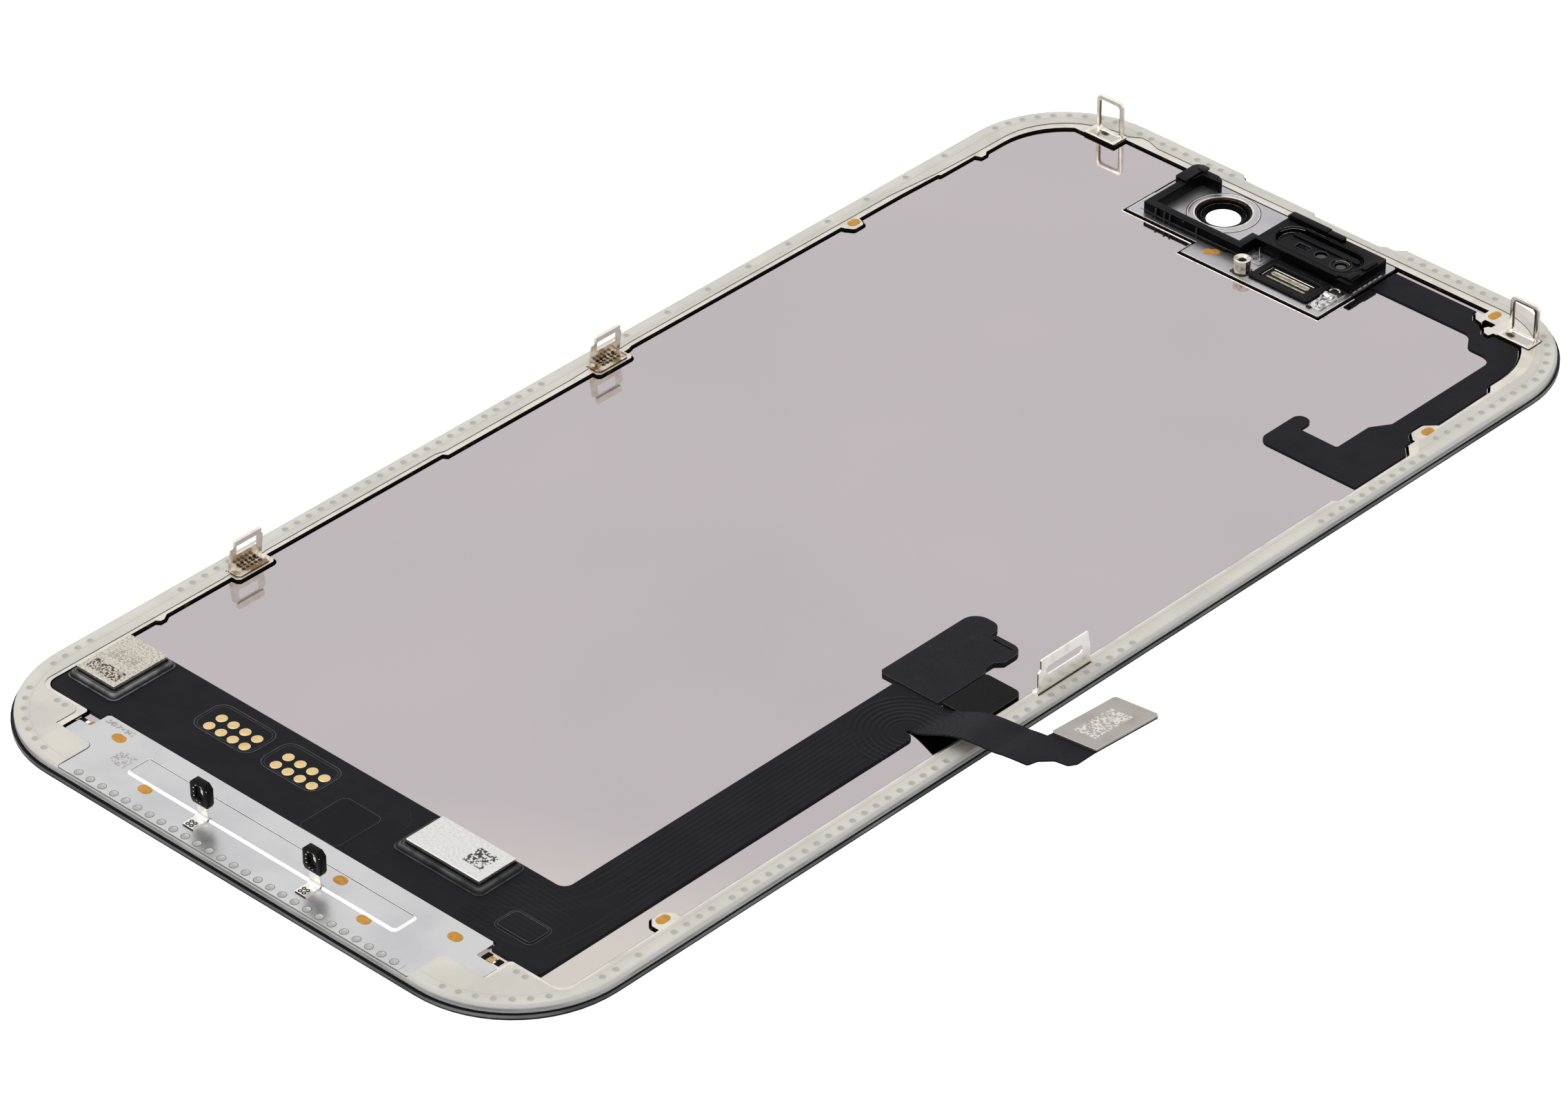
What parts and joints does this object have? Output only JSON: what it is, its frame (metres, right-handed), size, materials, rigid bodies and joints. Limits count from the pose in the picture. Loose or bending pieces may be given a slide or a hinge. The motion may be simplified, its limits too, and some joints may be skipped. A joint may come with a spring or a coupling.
{
  "type": "phone display assembly",
  "caption": "Cover glass with display for a phone, seen from its back: mirror-like plate in a moulded frame, clips, flat circuits and a front camera cluster.",
  "frame": {"origin": "centre of the cover glass's front face, on the surface that the part lies on", "axes": "+X across the short side towards the plug; +Y along the long side towards the front camera; +Z from the glass's front to the back with the clips"},
  "size_m": [0.0805, 0.1458, 0.0054],
  "materials": {
    "cover_glass": "gloss, black from its printed back",
    "adhesive": "clear",
    "display_panel": "black",
    "back_plate": "polished, faintly mauve",
    "frame_plastic": "cream, slightly translucent",
    "rim_steel": "fine satin",
    "bracket_steel": "bright satin",
    "clip_steel": "bright, heat tinted at its foot",
    "flex_film": "bluish black cover film",
    "tape": "grained black",
    "foam": "matt black",
    "gold": "gold plated",
    "moulding_black": "satin black",
    "chip_black": "black",
    "cover_nickel": "warm speckled nickel",
    "cover_bright": "bright silver",
    "stiffener_steel": "satin warm grey",
    "cluster_steel": "bright satin",
    "lens": "dark, glossy",
    "post_brass": "nickel plated",
    "grille": "pearl"
  },
  "bodies": {
    "root": {"cover_glass": "cover_glass", "optical_adhesive": "adhesive", "display_panel": "display_panel", "back_plate": "back_plate", "bezel_frame": "frame_plastic", "rim_insert": "rim_steel", "bottom_bracket": "bracket_steel", "clip_left_upper": "clip_steel", "clip_left_lower": "clip_steel", "clip_right": "clip_steel", "loop_top_left": "clip_steel", "loop_top_right": "clip_steel", "main_flex": "flex_film", "flex_patch": "flex_film", "cover_tape": "tape", "spacer_pad": "foam", "plug_stiffener": "stiffener_steel", "plug_shell": "moulding_black", "sensor_flex": "flex_film", "cluster_gasket": "foam", "camera_plate": "cluster_steel", "camera_ring": "moulding_black", "camera_holder": "moulding_black", "sensor_holder": "moulding_black", "sensor_insert": "moulding_black", "sensor_lenses": "lens", "speaker_frame": "moulding_black", "speaker_grille": "grille", "threaded_post": "post_brass", "ground_tab": "cluster_steel", "contact_spring": "cluster_steel", "hook_strip_left": "clip_steel", "hook_eye_left": "moulding_black", "hook_strip_right": "clip_steel", "hook_eye_right": "moulding_black", "contact_pads_left": "gold", "contact_pads_right": "gold", "driver_chip_left": "chip_black", "chip_skirt_left": "moulding_black", "chip_cover_left": "cover_nickel", "driver_chip_right": "chip_black", "chip_skirt_right": "moulding_black", "chip_cover_right": "cover_bright"}
  },
  "joints": []
}
